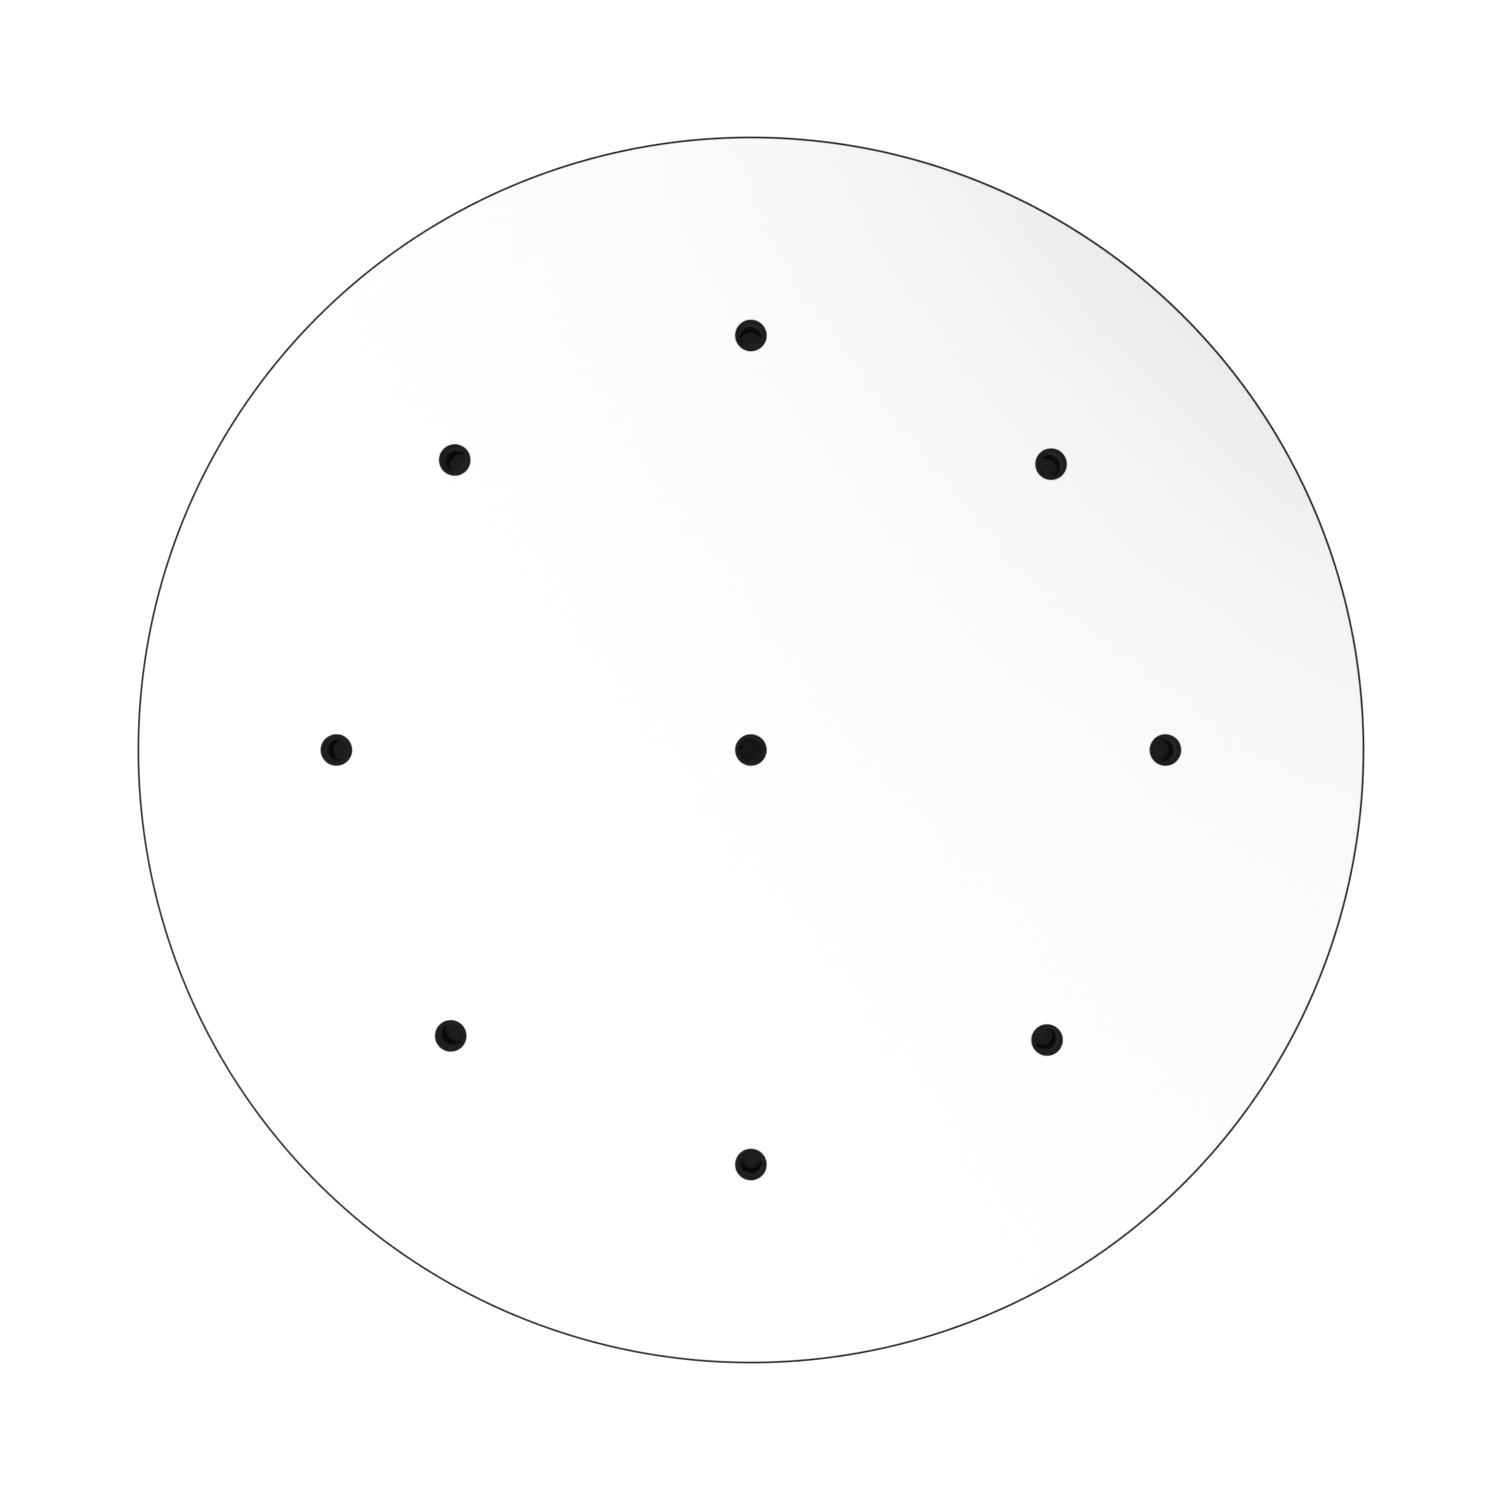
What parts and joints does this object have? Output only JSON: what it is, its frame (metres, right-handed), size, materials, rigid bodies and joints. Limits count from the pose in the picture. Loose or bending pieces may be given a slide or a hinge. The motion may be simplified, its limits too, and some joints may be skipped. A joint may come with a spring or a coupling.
{
  "type": "multi-outlet ceiling rose",
  "caption": "Round flat white ceiling rose with a magnet-held composite cover and black cable outlets for a cluster of pendant lamps.",
  "frame": {"origin": "centre of the side that meets the ceiling", "axes": "+Z out of the ceiling into the room, through the centre outlet, so the visible face is up as the object lies on its ceiling side; +X towards outlet 1; +Y towards outlet 3"},
  "size_m": [0.3999, 0.4, 0.038],
  "materials": {
    "cover_lacquer": "satin",
    "cover_primer": "matte",
    "cover_core": "matte",
    "gland_nylon": "matte",
    "housing_paint": "satin",
    "zinc_plate": "satin",
    "stud_copper": "satin",
    "rivet_aluminium": "satin",
    "grommet_rubber": "matte",
    "terminal_nylon": "satin",
    "terminal_brass": "satin",
    "link_copper": "satin",
    "live_sleeve": "gloss",
    "neutral_sleeve": "gloss",
    "magnet_nickel": "polished",
    "pad_foam": "matte"
  },
  "bodies": {
    "base": {"side_ring_flange": "housing_paint", "side_ring_wall": "housing_paint", "side_ring_lip": "housing_paint", "back_plate": "housing_paint", "ring_rivets": "rivet_aluminium", "entry_grommet": "grommet_rubber", "terminal_strip": "terminal_nylon", "terminal_tubes": "terminal_brass", "terminal_clamp_screws": "zinc_plate", "terminal_studs": "stud_copper", "terminal_nuts": "zinc_plate", "live_link": "link_copper", "neutral_link": "link_copper", "live_link_sleeve": "live_sleeve", "neutral_link_sleeve": "neutral_sleeve", "earth_bar": "terminal_brass", "earth_bar_screws": "zinc_plate", "earth_bar_studs": "stud_copper", "earth_bar_spacers": "zinc_plate", "earth_bar_washers": "zinc_plate", "earth_bar_nuts": "zinc_plate", "bracket_studs": "stud_copper", "bracket_nuts": "zinc_plate", "magnet_screws": "zinc_plate", "magnet_nuts": "zinc_plate", "magnet_bracket_1": "zinc_plate", "magnet_cup_1": "magnet_nickel", "magnet_ring_1": "magnet_nickel", "magnet_bracket_2": "zinc_plate", "magnet_cup_2": "magnet_nickel", "magnet_ring_2": "magnet_nickel", "magnet_bracket_3": "zinc_plate", "magnet_cup_3": "magnet_nickel", "magnet_ring_3": "magnet_nickel", "magnet_bracket_4": "zinc_plate", "magnet_cup_4": "magnet_nickel", "magnet_ring_4": "magnet_nickel"},
    "cover": {"cover_front_skin": "cover_lacquer", "cover_core": "cover_core", "cover_back_skin": "cover_primer", "gland_clamp_screws": "zinc_plate", "keeper_1": "zinc_plate", "keeper_pad_1": "pad_foam", "keeper_2": "zinc_plate", "keeper_pad_2": "pad_foam", "keeper_3": "zinc_plate", "keeper_pad_3": "pad_foam", "keeper_4": "zinc_plate", "keeper_pad_4": "pad_foam", "outlet_gland_centre": "gland_nylon", "outlet_gland_1": "gland_nylon", "outlet_gland_2": "gland_nylon", "outlet_gland_3": "gland_nylon", "outlet_gland_4": "gland_nylon", "outlet_gland_5": "gland_nylon", "outlet_gland_6": "gland_nylon", "outlet_gland_7": "gland_nylon", "outlet_gland_8": "gland_nylon"}
  },
  "joints": [
    {"name": "cover_release", "type": "slide", "parent": "base", "child": "cover", "axis": [0, 0, 1], "range_m": [0, 0.08]}
  ]
}
